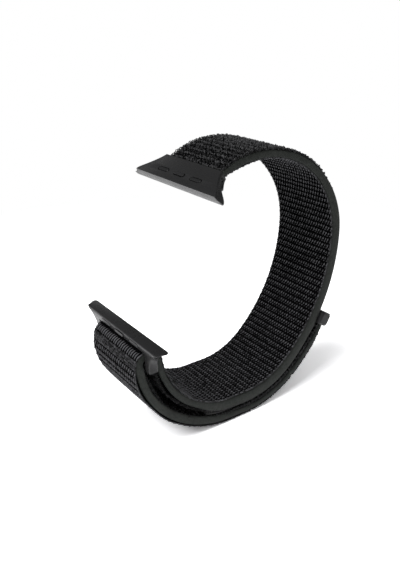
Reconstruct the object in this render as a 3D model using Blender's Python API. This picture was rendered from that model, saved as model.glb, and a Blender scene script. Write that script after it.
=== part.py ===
"""Woven hook and loop watch strap with two slide-in lugs, closed into its ring.

The strap is one woven band of two layers, skin side and loop pile, between two
smooth edge bindings. It leaves the upper lug, goes round the wrist, passes through
the slot of the lower lug, folds over the bar and runs back outside itself, where a
hook patch grips the pile. A stopper tab ends it. The tail peels at two places.

The band's route is laid out in the plane across its width (X to the right, Z up)
and every strip is one cross-section carried along that route.
"""
import math

import bmesh
import bpy
import numpy as np

MM = 0.001

# Band
BAND_WIDTH = 22.0 * MM
BAND_THICKNESS = 3.2 * MM
FOLD_THICKNESS = 2.5 * MM
END_THICKNESS = 2.0 * MM
PRESS_RUN = 9.0 * MM
BINDING_WIDTH = 1.2 * MM
BINDING_ROUNDING = 0.45 * MM
LAYER_ROUNDING = 0.25 * MM
CLOTH_GAP = 0.3 * MM

# Route of the band: one radius sets its size, and each bend is a share of it
BEND_RADIUS = 30.0 * MM
BENDS_TO_FOOT = (
    {"radius_share": 0.87, "turn_deg": 26.5},
    {"radius_share": 0.95, "turn_deg": 63.0},
    {"radius_share": 0.88, "turn_deg": 29.5},
    {"radius_share": 1.60, "turn_deg": 48.5},
    {"radius_share": 0.77, "turn_deg": 41.5},
)
BENDS_TO_LOWER_LUG = (
    {"radius_share": 0.40, "turn_deg": 10.5},
    {"radius_share": 0.83, "turn_deg": 70.5},
)
LEAD_IN = 2.2 * MM
FOOT_LENGTH = 7.0 * MM
LEAD_OUT = 1.0 * MM
BEND_STEP_DEG = 5.0
LEAST_STATION_GAP = 0.3 * MM
FOLD_STEPS = 12
SETTLE_RUN = 34.0 * MM

# Tail and its hook patch
TAIL_LENGTH = 84.4 * MM
TIP_LENGTH = 12.0 * MM
PEEL_LENGTH = 17.0 * MM
HOOK_LENGTH = 39.0 * MM
HOOK_THICKNESS = 0.6 * MM
HOOK_INSET = 0.9 * MM

# Stopper tab on the end of the tail
TAB_LENGTH = 4.1 * MM
TAB_DEPTH = 4.2 * MM
TAB_OVERLAP = 1.4 * MM
TAB_SIDE = 0.55 * MM
TAB_ROUNDING = 0.7 * MM
TAB_ROUND_STEPS = 3

# Lugs: u runs from the strap side to the leading face, v from the outer face to
# the face on the wrist; wings, cheeks and legs are measured from the band's edge
LUG_LENGTH = 7.3 * MM
LUG_END_BEVEL = 0.55 * MM
LUG_END_BEVEL_DEPTH = 0.85 * MM
LUG_END_ROUNDING_SHARE = 0.3
LUG_HOLLOW = 0.2 * MM
LUG_STATIONS = 13
LUG_NOSE_STEPS = 4
LUG_ROUND_STEPS = 3
RUN_CLEARANCE = 0.3 * MM

# Upper lug, with a pocket for the sewn end of the band and a pin through both
UPPER_CHEEK = 1.0 * MM
UPPER_WING = 7.0 * MM
UPPER_FLARE_POWER = 1.3
UPPER_END_SLANT = 1.5 * MM
UPPER_REAR = 2.9 * MM
UPPER_WALL = 0.4 * MM
UPPER_NECK = 1.7 * MM
UPPER_NECK_RUN = 1.1 * MM
UPPER_SWELL_RUN = 1.7 * MM
UPPER_FLANGE = 3.1 * MM
UPPER_NOSE_RUN = 1.5 * MM
UPPER_NOSE_SIDE = 0.7 * MM
UPPER_NOSE_OUTER = 0.15 * MM
UPPER_NOSE_INNER = 0.95 * MM
UPPER_TILT_DEG = 3.0
POCKET_DEPTH = 2.7 * MM
POCKET_WIDEN_DEG = 5.0
SLEEVE_THICKNESS = 1.6 * MM
SLEEVE_LENGTH = 2.9 * MM
PIN_RADIUS = 0.45 * MM
PIN_SETBACK = 1.4 * MM
PIN_CLEARANCE = 0.1 * MM
PIN_SETTLE = 0.4 * MM

# Lower lug, with two legs, a bar between them and the slot over the bar
LEG_WIDTH = 2.5 * MM
LEG_DEPTH = 2.7 * MM
LOWER_WING = 7.1 * MM
LOWER_FLARE_POWER = 3.0
LOWER_END_SLANT = 0.8 * MM
LOWER_FLANGE = 3.4 * MM
LOWER_NOSE_RUN = 0.5 * MM
LOWER_NOSE_SIDE = 0.5 * MM
LOWER_NOSE_OUTER = 0.35 * MM
LOWER_NOSE_INNER = 0.2 * MM
LOWER_TILT_DEG = -3.0
BAR_RADIUS = 1.1 * MM
BAR_END_RADIUS = 0.6 * MM
BAR_END_DEPTH = 1.6 * MM

# Rubber pads and spring latch in the outer face of each lug
PAD_LENGTH = 4.2 * MM
PAD_WIDTH = 0.9 * MM
PAD_DEPTH = 0.7 * MM
PAD_PROUD = 0.1 * MM
PAD_PITCH_SHARE = 0.385
PAD_GAP = 0.2 * MM
UPPER_PAD_SETBACK = 2.6 * MM
LOWER_PAD_SETBACK = 1.2 * MM
LATCH_DEPTH = 1.0 * MM
LATCH_PROUD = 0.3 * MM
LATCH_TRAVEL = 0.3 * MM
SPRING_THICKNESS = 0.12 * MM
SPRING_WIDTH = 0.6 * MM
SPRING_LENGTH = 3.2 * MM
SPRING_STEPS = 8

ROUND_STEPS = 20
CAPSULE_STEPS = 6
CUT_OVERRUN = 1.0 * MM

MATERIALS = {
    "woven_skin": {"color": (0.030, 0.031, 0.034, 1.0), "roughness": 0.85, "metallic": 0.0},
    "loop_pile": {"color": (0.024, 0.025, 0.027, 1.0), "roughness": 0.95, "metallic": 0.0},
    "edge_binding": {"color": (0.038, 0.042, 0.038, 1.0), "roughness": 0.75, "metallic": 0.0},
    "hook_tape": {"color": (0.030, 0.030, 0.031, 1.0), "roughness": 0.70, "metallic": 0.0},
    "tab_plastic": {"color": (0.055, 0.057, 0.060, 1.0), "roughness": 0.50, "metallic": 0.0},
    "lug_metal": {"color": (0.100, 0.100, 0.104, 1.0), "roughness": 0.38, "metallic": 0.8},
    "steel": {"color": (0.450, 0.450, 0.460, 1.0), "roughness": 0.30, "metallic": 1.0},
    "pad_rubber": {"color": (0.035, 0.035, 0.036, 1.0), "roughness": 0.65, "metallic": 0.0},
}


def clear_scene():
    for item in list(bpy.data.objects):
        bpy.data.objects.remove(item, do_unlink=True)


def material(name):
    """One Principled material for each finish, made once."""
    found = bpy.data.materials.get(name)
    if found:
        return found
    values = MATERIALS[name]
    made = bpy.data.materials.new(name)
    made.use_nodes = True
    shader = made.node_tree.nodes["Principled BSDF"]
    shader.inputs["Base Color"].default_value = values["color"]
    shader.inputs["Roughness"].default_value = values["roughness"]
    shader.inputs["Metallic"].default_value = values["metallic"]
    made.diffuse_color = values["color"]
    return made


def ease(share):
    """Smooth step from 0 to 1, level at both ends."""
    share = np.clip(share, 0.0, 1.0)
    return share * share * (3.0 - 2.0 * share)


# Objects and solids


def add_object(name, mesh, finish=None, parent=None):
    item = bpy.data.objects.new(name, mesh)
    bpy.context.scene.collection.objects.link(item)
    if finish:
        mesh.materials.append(material(finish))
    if parent:
        item.parent = parent
    return item


def pivot(name, point, parent=None, parent_point=(0.0, 0.0)):
    """Empty on a joint's axis; what moves there is parented to it."""
    item = add_object(name, None, parent=parent)
    item.location = (point[0] - parent_point[0], 0.0, point[1] - parent_point[1])
    return item


def closed_mesh(name, points, faces, pivot_point=(0.0, 0.0)):
    """Mesh of a closed body, faces outwards, placed about its pivot in X and Z."""
    mesh = bpy.data.meshes.new(name)
    local = np.asarray(points, dtype=float) - np.array([pivot_point[0], 0.0, pivot_point[1]])
    mesh.from_pydata(local.tolist(), [], faces)
    work = bmesh.new()
    work.from_mesh(mesh)
    bmesh.ops.recalc_face_normals(work, faces=work.faces[:])
    work.to_mesh(mesh)
    work.free()
    mesh.shade_smooth()
    mesh.set_sharp_from_angle(angle=math.radians(35.0))
    return mesh


def loft(sections):
    """Points and faces through closed sections of equal count, capped at both ends."""
    sections = np.asarray(sections, dtype=float)
    rows, count = sections.shape[:2]
    faces = []
    for row in range(rows - 1):
        for column in range(count):
            following = (column + 1) % count
            here, above = row * count, (row + 1) * count
            faces.append((here + column, here + following, above + following, above + column))
    faces.append(tuple(range(count)))
    faces.append(tuple((rows - 1) * count + column for column in reversed(range(count))))
    return sections.reshape(-1, 3), faces


def cut(item, cutters):
    """Subtract each cutter, kept in the scene as a hidden wire object."""
    for cutter in cutters:
        cutter.hide_render = True
        cutter.display_type = "WIRE"
        step = item.modifiers.new("cut " + cutter.name, "BOOLEAN")
        step.operation = "DIFFERENCE"
        step.object = cutter


# Route of the band


class Route:
    """Stations along the band: places, left-hand normals and half thickness."""

    def __init__(self, places, normals, halves):
        self.places = np.asarray(places, dtype=float)
        self.normals = np.asarray(normals, dtype=float)
        self.halves = np.asarray(halves, dtype=float)
        steps = np.linalg.norm(np.diff(self.places, axis=0), axis=1)
        self.run = np.concatenate([[0.0], np.cumsum(steps)])

    @property
    def length(self):
        return float(self.run[-1])

    def at(self, distance):
        """Place, unit normal and half thickness at a distance along the route."""
        place = [np.interp(distance, self.run, self.places[:, axis]) for axis in (0, 1)]
        normal = np.array([np.interp(distance, self.run, self.normals[:, axis]) for axis in (0, 1)])
        normal = normal / np.linalg.norm(normal)
        return np.array(place), normal, float(np.interp(distance, self.run, self.halves))

    def piece(self, start, end):
        """The stretch from start to end, with a station exactly at each."""
        inside = (self.run > start + LEAST_STATION_GAP) & (self.run < end - LEAST_STATION_GAP)
        first, last = self.at(start), self.at(end)
        places = np.vstack([first[0], self.places[inside], last[0]])
        normals = np.vstack([first[1], self.normals[inside], last[1]])
        halves = np.concatenate([[first[2]], self.halves[inside], [last[2]]])
        return Route(places, normals, halves)


def heading_vectors(heading):
    """Tangent and left-hand normal for a heading in radians."""
    along = np.array([math.cos(heading), math.sin(heading)])
    return along, np.array([-along[1], along[0]])


def loop_stations():
    """Bends and straights from the upper lug's pin to the lower lug's fold.

    Returns places, tangents, normals and curvatures. The band turns clockwise all
    the way, and the foot lies level because the bends before it add up to it.
    """
    turned = sum(bend["turn_deg"] for bend in BENDS_TO_FOOT)
    heading = math.radians(turned - 180.0)
    place = np.zeros(2)
    rows = []

    def straight(length):
        nonlocal place
        along, left = heading_vectors(heading)
        rows.append((place, along, left, 0.0))
        place = place + along * length
        rows.append((place, along, left, 0.0))

    def bend(values):
        nonlocal place, heading
        radius = values["radius_share"] * BEND_RADIUS
        left = heading_vectors(heading)[1]
        centre = place - left * radius
        steps = max(2, round(values["turn_deg"] / BEND_STEP_DEG))
        step = math.radians(values["turn_deg"]) / steps
        for _ in range(steps):
            heading -= step
            along, left = heading_vectors(heading)
            rows.append((centre + left * radius, along, left, 1.0 / radius))
        place = centre + left * radius

    straight(LEAD_IN)
    for values in BENDS_TO_FOOT:
        bend(values)
    straight(FOOT_LENGTH)
    for values in BENDS_TO_LOWER_LUG:
        bend(values)
    straight(LEAD_OUT)
    kept = [rows[0]]
    for row in rows[1:]:
        if np.linalg.norm(row[0] - kept[-1][0]) > LEAST_STATION_GAP:
            kept.append(row)
        else:
            kept[-1] = row
    places, tangents, normals, curves = (np.array(column) for column in zip(*kept))
    return places, tangents, normals, curves


def fold_radius():
    return BAR_RADIUS + RUN_CLEARANCE + FOLD_THICKNESS / 2.0


def closed_spacing():
    """Distance between the two runs' middles where the hook patch lies between them."""
    return BAND_THICKNESS + HOOK_THICKNESS + 2.0 * CLOTH_GAP


def band_route():
    """Whole route, the bar's centre and the distances where the parts of it begin."""
    places, tangents, normals, curves = loop_stations()
    run = np.concatenate([[0.0], np.cumsum(np.linalg.norm(np.diff(places, axis=0), axis=1))])
    loop_length = run[-1]
    bar = places[-1] + normals[-1] * fold_radius()
    turns = np.linspace(0.0, math.pi, FOLD_STEPS + 1)[1:-1]
    spoke, along = -normals[-1], tangents[-1]
    fold_left = [-(spoke * math.cos(turn) + along * math.sin(turn)) for turn in turns]
    fold_places = [bar - left * fold_radius() for left in fold_left]

    # the tail is the loop's route offset outwards, by a spacing that settles to the closed one
    back = loop_length - run[::-1]
    rise = ease(back / SETTLE_RUN)
    spread = 2.0 * fold_radius()
    spacing = spread + (closed_spacing() - spread) * rise
    share = np.clip(back / SETTLE_RUN, 0.0, 1.0)
    slope = (closed_spacing() - spread) * 6.0 * share * (1.0 - share) / SETTLE_RUN
    near, facing = places[::-1], normals[::-1]
    forward, curve = tangents[::-1], curves[::-1]
    tail_places = near + facing * spacing[:, None]
    # spacing grows with back, which runs against the loop's own direction
    tail_left = -facing * (1.0 + curve * spacing)[:, None] - forward * slope[:, None]
    tail_left /= np.linalg.norm(tail_left, axis=1)[:, None]

    all_places = np.vstack([places, fold_places, tail_places])
    all_normals = np.vstack([normals, fold_left, tail_left])
    run = np.concatenate([[0.0], np.cumsum(np.linalg.norm(np.diff(all_places, axis=0), axis=1))])
    tail_start = run[len(places) + len(fold_places)]
    tail_end = tail_start + TAIL_LENGTH
    from_fold = np.maximum(loop_length - run, run - tail_start)
    halves = np.minimum.reduce([
        pressed_half(END_THICKNESS, run),
        pressed_half(FOLD_THICKNESS, from_fold),
        pressed_half(END_THICKNESS, tail_end - run),
    ])
    route = Route(all_places, all_normals, halves)
    return route, bar, tail_start, tail_end


def pressed_half(thickness, distance):
    """Half thickness of the band at a distance from where it is pressed thinner."""
    rise = ease(distance / PRESS_RUN)
    return (thickness + (BAND_THICKNESS - thickness) * rise) / 2.0


def rest_on_foot(route, bar, tail_end):
    """Move the route so that its foot lies on the ground and the band is centred."""
    worn = route.piece(0.0, tail_end)
    lower = worn.places - worn.normals * worn.halves[:, None]
    upper = worn.places + worn.normals * worn.halves[:, None]
    outline = np.vstack([lower, upper])
    middle = (outline[:, 0].min() + outline[:, 0].max()) / 2.0
    shift = np.array([middle, outline[:, 1].min()])
    return Route(route.places - shift, route.normals, route.halves), bar - shift


# Strips carried along the route


def rounded_strip(left, right, low, high, rounding):
    """Closed outline of a strip in (y, n), its four corners cut at the rounding."""
    return [
        (left + rounding, low),
        (right - rounding, low),
        (right, low + rounding),
        (right, high - rounding),
        (right - rounding, high),
        (left + rounding, high),
        (left, high - rounding),
        (left, low + rounding),
    ]


def strip(name, stretch, y_range, n_range, rounding, finish, parent=None, pivot_point=(0.0, 0.0)):
    """Sweep a strip: n_range gives its low and high side from a station's half thickness."""
    sections = []
    for place, normal, half in zip(stretch.places, stretch.normals, stretch.halves):
        low, high = n_range(half)
        outline = rounded_strip(y_range[0], y_range[1], low, high, rounding)
        sections.append([
            (place[0] + normal[0] * n, y, place[1] + normal[1] * n) for y, n in outline
        ])
    points, faces = loft(sections)
    mesh = closed_mesh(name, points, faces, pivot_point)
    return add_object(name, mesh, finish, parent)


def band_strips(prefix, stretch, parent=None, pivot_point=(0.0, 0.0)):
    """Skin layer, pile layer and both bindings of one stretch of the band."""
    edge = BAND_WIDTH / 2.0
    web = edge - BINDING_WIDTH - CLOTH_GAP
    half_gap = CLOTH_GAP / 2.0
    skin = (lambda half: (-half, -half_gap))
    pile = (lambda half: (half_gap, half))
    whole = (lambda half: (-half, half))
    place = {"parent": parent, "pivot_point": pivot_point}
    strip(prefix + "_skin_layer", stretch, (-web, web), skin, LAYER_ROUNDING, "woven_skin", **place)
    strip(prefix + "_pile_layer", stretch, (-web, web), pile, LAYER_ROUNDING, "loop_pile", **place)
    for side, name in ((-1.0, "_near_binding"), (1.0, "_far_binding")):
        limits = sorted((side * edge, side * (edge - BINDING_WIDTH)))
        strip(prefix + name, stretch, limits, whole, BINDING_ROUNDING, "edge_binding", **place)


def hook_strip(name, stretch, parent=None, pivot_point=(0.0, 0.0)):
    """Hook tape on the pile side of the tail, between the two runs."""
    side = BAND_WIDTH / 2.0 - HOOK_INSET
    stack = (lambda half: (half + CLOTH_GAP, half + CLOTH_GAP + HOOK_THICKNESS))
    strip(name, stretch, (-side, side), stack, CLOTH_GAP / 2.0, "hook_tape", parent, pivot_point)


# Shapes in a piece's own frame


class Frame:
    """Flat frame in the X-Z plane: an origin, a direction u and a direction v."""

    def __init__(self, origin, u_direction, v_direction):
        self.origin = np.asarray(origin, dtype=float)
        self.u = np.asarray(u_direction, dtype=float)
        self.v = np.asarray(v_direction, dtype=float)

    def place(self, u, y, v):
        point = self.origin + self.u * u + self.v * v
        return (point[0], y, point[1])


def turned_frame(origin, heading, v_side):
    """Frame whose u lies at a heading; v is on its left (+1) or its right (-1)."""
    along, left = heading_vectors(heading)
    return Frame(origin, along, left * v_side)


def block(name, frame, u_range, y_range, v_range, pivot_point=(0.0, 0.0), mouth_widening=0.0):
    """Straight-sided block, for cutters; its low-u end can be wider in v."""
    sections = []
    for u, widening in zip(u_range, (mouth_widening, 0.0)):
        low, high = v_range[0] - widening, v_range[1] + widening
        corners = ((y_range[0], low), (y_range[1], low), (y_range[1], high), (y_range[0], high))
        sections.append([frame.place(u, y, v) for y, v in corners])
    points, faces = loft(sections)
    return add_object(name, closed_mesh(name, points, faces, pivot_point))


def both_ends(stations):
    """The stations of a turned piece mirrored about its middle."""
    return [(-y, radius) for y, radius in stations] + list(reversed(stations))


def round_bar(name, centre, ends, finish=None, parent=None, pivot_point=(0.0, 0.0)):
    """Turned piece along Y, alike at both ends: (distance from the middle, radius) each."""
    angles = np.arange(ROUND_STEPS) * 2.0 * math.pi / ROUND_STEPS
    sections = []
    for y, radius in both_ends(ends):
        sections.append([
            (centre[0] + radius * math.cos(angle), y, centre[1] + radius * math.sin(angle))
            for angle in angles
        ])
    points, faces = loft(sections)
    mesh = closed_mesh(name, points, faces, pivot_point)
    return add_object(name, mesh, finish, parent)


def capsule(name, frame, u, y, size, v_range, finish=None, parent=None, pivot_point=(0.0, 0.0)):
    """Round-ended prism along Y: size is (length, width), pushed through v_range."""
    length, width = size
    straight, radius = (length - width) / 2.0, width / 2.0
    outline = []
    for side in (1.0, -1.0):
        for step in range(CAPSULE_STEPS + 1):
            angle = math.pi * step / CAPSULE_STEPS
            across = side * radius * math.cos(angle)
            lengthwise = side * (straight + radius * math.sin(angle))
            outline.append((u + across, y + lengthwise))
    sections = [[frame.place(at_u, at_y, v) for at_u, at_y in outline] for v in v_range]
    points, faces = loft(sections)
    mesh = closed_mesh(name, points, faces, pivot_point)
    return add_object(name, mesh, finish, parent)


# Lugs


class LugShape:
    """What tells one lug from the other: its plan, its nose and its depths."""

    def __init__(self, rear, wing, flare_power, slant, nose, depth_at):
        self.rear_half = BAND_WIDTH / 2.0 + rear
        self.lead_half = BAND_WIDTH / 2.0 + wing
        self.flare_power = flare_power
        self.slant = slant
        self.nose_run, self.nose_side, self.nose_outer, self.nose_inner = nose
        self.depth_at = depth_at

    def stations(self):
        """Even steps along u, then the nose's elliptical ones: (u, share drawn in)."""
        nose_start = LUG_LENGTH - self.nose_run
        rows = [(u, 0.0) for u in np.linspace(0.0, nose_start, LUG_STATIONS)]
        for step in range(1, LUG_NOSE_STEPS + 1):
            angle = math.pi / 2.0 * step / LUG_NOSE_STEPS
            rows.append((nose_start + self.nose_run * math.sin(angle), 1.0 - math.cos(angle)))
        return rows


def lug_end(half, slant, low, high):
    """One end of a lug's section: rounded at the outer face and at the wrist face."""
    turns = [math.pi / 2.0 * step / LUG_ROUND_STEPS for step in range(LUG_ROUND_STEPS + 1)]
    points = []
    for turn in turns:
        y = half - LUG_END_BEVEL * (1.0 - math.sin(turn))
        points.append((y, low + LUG_END_BEVEL_DEPTH * (1.0 - math.cos(turn))))
    radius = LUG_END_ROUNDING_SHARE * (high - low)
    for turn in turns:
        y = half + slant - radius * (1.0 - math.cos(turn))
        points.append((y, high - radius * (1.0 - math.sin(turn))))
    return points


def lug_body(name, frame, shape, parent, pivot_point):
    """Lug lofted from strap side to leading face.

    At each u the section is a slab between the outer and the wrist face. Its ends
    flare out by a power of u, and an elliptical nose draws all sides in towards the
    flat leading face.
    """
    sections = []
    for u, drawn_in in shape.stations():
        flare = (u / LUG_LENGTH) ** shape.flare_power
        half = shape.rear_half + (shape.lead_half - shape.rear_half) * flare
        low, high = shape.depth_at(u)
        end = lug_end(half - shape.nose_side * drawn_in, shape.slant * flare,
                      low + shape.nose_outer * drawn_in, high - shape.nose_inner * drawn_in)
        outline = end + [(-y, v) for y, v in reversed(end)]
        sections.append([frame.place(u, y, v) for y, v in outline])
    points, faces = loft(sections)
    return add_object(name, closed_mesh(name, points, faces, pivot_point), "lug_metal", parent)


def upper_depths(u):
    """Rear lip, then a neck behind the flange's round bead, on the wrist side."""
    dip = ease((u - POCKET_DEPTH - UPPER_WALL) / UPPER_NECK_RUN)
    neck_end = LUG_LENGTH - UPPER_NOSE_RUN - UPPER_SWELL_RUN
    swell = ease((u - neck_end) / UPPER_SWELL_RUN)
    inner = UPPER_REAR + (UPPER_NECK - UPPER_REAR) * dip + (UPPER_FLANGE - UPPER_NECK) * swell
    return 0.0, inner


def lower_depths(u):
    """Legs as deep as the bar needs, a shallow hollow outside and the flange's lip."""
    along = u / LUG_LENGTH
    hollow = LUG_HOLLOW * math.sin(math.pi * along) ** 2
    swell = ease((u - lower_slot()[1]) / (LUG_LENGTH - lower_slot()[1] - LOWER_NOSE_RUN))
    return hollow, LEG_DEPTH + (LOWER_FLANGE - LEG_DEPTH) * swell


def lower_slot():
    """The slot's two sides along u: the top of the bar, and the underside of the flange."""
    low = 2.0 * BAR_RADIUS
    high = BAR_RADIUS + fold_radius() + FOLD_THICKNESS / 2.0 + RUN_CLEARANCE
    return low, high


def fit_pads(side, body, frame, shape, setback, surface, parent, pivot_point):
    """Two rubber pads, a spring latch between them and the leaf under it."""
    u = LUG_LENGTH - setback
    pocket = (PAD_LENGTH + 2.0 * PAD_GAP, PAD_WIDTH + 2.0 * PAD_GAP)
    size = (PAD_LENGTH, PAD_WIDTH)
    seat = surface + PAD_DEPTH
    cutters = []
    pitch = PAD_PITCH_SHARE * shape.lead_half
    for y, name in ((-pitch, "_pad_near"), (pitch, "_pad_far")):
        reach = (surface - CUT_OVERRUN, seat + PAD_GAP)
        cutters.append(capsule(side + name + "_pocket", frame, u, y, pocket, reach))
        place = {"parent": parent, "pivot_point": pivot_point}
        capsule(side + name, frame, u, y, size, (surface - PAD_PROUD, seat), "pad_rubber", **place)
    latch_low = surface - LATCH_PROUD
    latch_high = latch_low + LATCH_DEPTH
    floor = latch_high + LATCH_TRAVEL + 3.0 * SPRING_THICKNESS
    reach = (surface - CUT_OVERRUN, floor)
    cutters.append(capsule(side + "_latch_pocket", frame, u, 0.0, pocket, reach))
    cut(body, cutters)
    slide_point = frame.place(u, 0.0, latch_low)[::2]
    slide = pivot(side + "_latch_slide", slide_point, parent, pivot_point)
    capsule(side + "_latch", frame, u, 0.0, size, (latch_low, latch_high), "lug_metal",
            slide, slide_point)
    latch_spring(side + "_latch_spring", frame, u, latch_high, floor, parent, pivot_point)


def latch_spring(name, frame, u, top, floor, parent, pivot_point):
    """Bowed leaf: its middle under the latch, its ends on the pocket's floor."""
    clear = SPRING_THICKNESS / 2.0
    rise = floor - top - SPRING_THICKNESS - 2.0 * clear
    sections = []
    for step in range(SPRING_STEPS + 1):
        share = step / SPRING_STEPS
        y = SPRING_LENGTH * (share - 0.5)
        v = top + clear + rise * (2.0 * share - 1.0) ** 2
        wide = SPRING_WIDTH / 2.0
        corners = ((-wide, 0.0), (wide, 0.0), (wide, SPRING_THICKNESS), (-wide, SPRING_THICKNESS))
        sections.append([frame.place(u + across, y, v + deep) for across, deep in corners])
    points, faces = loft(sections)
    add_object(name, closed_mesh(name, points, faces, pivot_point), "steel", parent)


def upper_lug(route):
    """Upper lug on its pin, and the band's sewn end in the lug's pocket."""
    pin_place = route.places[0]
    left = route.normals[0]
    strap_heading = math.atan2(-left[0], left[1])
    joint = pivot("upper_lug_swivel", pin_place)
    out_heading = strap_heading + math.pi + math.radians(UPPER_TILT_DEG)
    along, side = heading_vectors(out_heading)
    # only a thin wall covers the band's sewn end outside
    outer_wall = SLEEVE_THICKNESS / 2.0 + RUN_CLEARANCE / 2.0 + UPPER_WALL
    rear_outer = pin_place - along * PIN_SETBACK - side * outer_wall
    frame = Frame(rear_outer, along, side)
    nose = (UPPER_NOSE_RUN, UPPER_NOSE_SIDE, UPPER_NOSE_OUTER, UPPER_NOSE_INNER)
    shape = LugShape(UPPER_CHEEK, UPPER_WING, UPPER_FLARE_POWER, UPPER_END_SLANT, nose,
                     upper_depths)
    body = lug_body("upper_lug_body", frame, shape, joint, pin_place)
    fit_pads("upper", body, frame, shape, UPPER_PAD_SETBACK, 0.0, joint, pin_place)

    pocket_frame = turned_frame(pin_place, strap_heading + math.pi, 1.0)
    side_reach = BAND_WIDTH / 2.0 + RUN_CLEARANCE
    half = SLEEVE_THICKNESS / 2.0 + RUN_CLEARANCE / 2.0
    mouth = -PIN_SETBACK - CUT_OVERRUN
    widening = (POCKET_DEPTH + CUT_OVERRUN) * math.tan(math.radians(POCKET_WIDEN_DEG))
    pocket = block("upper_lug_pocket", pocket_frame, (mouth, POCKET_DEPTH - PIN_SETBACK),
                   (-side_reach, side_reach), (-half, half), mouth_widening=widening)
    reach = shape.lead_half + CUT_OVERRUN
    hole_radius = PIN_RADIUS + PIN_CLEARANCE
    hole = round_bar("upper_lug_pin_hole", pin_place, ((reach, hole_radius),))
    cut(body, [pocket, hole])

    pin_half = BAND_WIDTH / 2.0 + RUN_CLEARANCE + PIN_SETTLE
    round_bar("upper_lug_pin", pin_place, ((pin_half, PIN_RADIUS),), "steel", joint, pin_place)
    sleeve_end = POCKET_DEPTH - PIN_SETBACK - RUN_CLEARANCE
    sleeve_half = SLEEVE_THICKNESS / 2.0
    sleeve_side = BAND_WIDTH / 2.0
    outline = rounded_strip(-sleeve_side, sleeve_side, -sleeve_half, sleeve_half, LAYER_ROUNDING)
    sections = [
        [pocket_frame.place(u, y, v) for y, v in outline]
        for u in (sleeve_end - SLEEVE_LENGTH, sleeve_end)
    ]
    points, faces = loft(sections)
    sleeve = add_object("band_end_sleeve", closed_mesh("band_end_sleeve", points, faces), "loop_pile")
    bore_reach = sleeve_side + CUT_OVERRUN
    bore = round_bar("band_end_sleeve_bore", pin_place, ((bore_reach, hole_radius),))
    cut(sleeve, [bore])
    return frame, SLEEVE_LENGTH - sleeve_end


def lower_lug(route, bar_place, loop_end):
    """Lower lug on its bar: two legs, the slot between them and the flange."""
    left = route.at(loop_end)[1]
    strap_heading = math.atan2(-left[0], left[1])
    joint = pivot("lower_lug_swivel", bar_place)
    heading = strap_heading + math.radians(LOWER_TILT_DEG)
    along, side = heading_vectors(heading)
    leg_outer = bar_place - along * BAR_RADIUS + side * (LEG_DEPTH / 2.0)
    frame = Frame(leg_outer, along, -side)
    nose = (LOWER_NOSE_RUN, LOWER_NOSE_SIDE, LOWER_NOSE_OUTER, LOWER_NOSE_INNER)
    shape = LugShape(LEG_WIDTH, LOWER_WING, LOWER_FLARE_POWER, LOWER_END_SLANT, nose, lower_depths)
    body = lug_body("lower_lug_body", frame, shape, joint, bar_place)
    surface = LUG_HOLLOW * math.sin(math.pi * (1.0 - LOWER_PAD_SETBACK / LUG_LENGTH)) ** 2
    fit_pads("lower", body, frame, shape, LOWER_PAD_SETBACK, surface, joint, bar_place)

    side_reach = BAND_WIDTH / 2.0 + RUN_CLEARANCE
    opening = block("lower_lug_slot", frame, (-CUT_OVERRUN, lower_slot()[1]),
                    (-side_reach, side_reach), (-CUT_OVERRUN, LOWER_FLANGE + CUT_OVERRUN))
    seat_reach = side_reach + BAR_END_DEPTH + PAD_GAP
    seat_radius = BAR_END_RADIUS + PAD_GAP
    seats = round_bar("lower_lug_bar_seats", bar_place, ((seat_reach, seat_radius),))
    cut(body, [opening, seats])

    shoulder = side_reach - PAD_GAP
    tip = side_reach + BAR_END_DEPTH
    ends = ((tip, BAR_END_RADIUS), (shoulder, BAR_END_RADIUS), (shoulder, BAR_RADIUS))
    round_bar("lower_lug_bar", bar_place, ends, "steel", joint, bar_place)
    return frame


# Tab on the end of the tail


def end_tab(route, tail_end, parent, pivot_point):
    """Moulded bar over the end of the band, proud of its outer face."""
    place, left, half = route.at(tail_end)
    along = np.array([left[1], -left[0]])
    inner = half + RUN_CLEARANCE + TAB_SIDE
    frame = Frame(place + left * inner, along, -left)
    start = -TAB_OVERLAP
    r = TAB_ROUNDING
    corners = (
        (start + r, r, 180.0),
        (start + TAB_LENGTH - r, r, 270.0),
        (start + TAB_LENGTH - r, TAB_DEPTH - r, 0.0),
        (start + r, TAB_DEPTH - r, 90.0),
    )
    side_profile = []
    for u, v, first in corners:
        for step in range(TAB_ROUND_STEPS + 1):
            angle = math.radians(first + 90.0 * step / TAB_ROUND_STEPS)
            side_profile.append((u + r * math.cos(angle), v + r * math.sin(angle)))
    tab_half = BAND_WIDTH / 2.0 + RUN_CLEARANCE + TAB_SIDE
    middle = np.array([start + TAB_LENGTH / 2.0, TAB_DEPTH / 2.0])
    inset = 1.0 - 2.0 * TAB_SIDE / TAB_DEPTH
    sections = []
    for y, share in ((-tab_half, inset), (-tab_half + TAB_SIDE, 1.0),
                     (tab_half - TAB_SIDE, 1.0), (tab_half, inset)):
        ring = [middle + (np.array(point) - middle) * share for point in side_profile]
        sections.append([frame.place(u, y, v) for u, v in ring])
    points, faces = loft(sections)
    mesh = closed_mesh("end_tab", points, faces, pivot_point)
    tab = add_object("end_tab", mesh, "tab_plastic", parent)
    reach = BAND_WIDTH / 2.0 + RUN_CLEARANCE
    pocket = block("end_tab_pocket", frame, (start - CUT_OVERRUN, RUN_CLEARANCE),
                   (-reach, reach), (TAB_SIDE, inner + half + RUN_CLEARANCE))
    cut(tab, [pocket])


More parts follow.
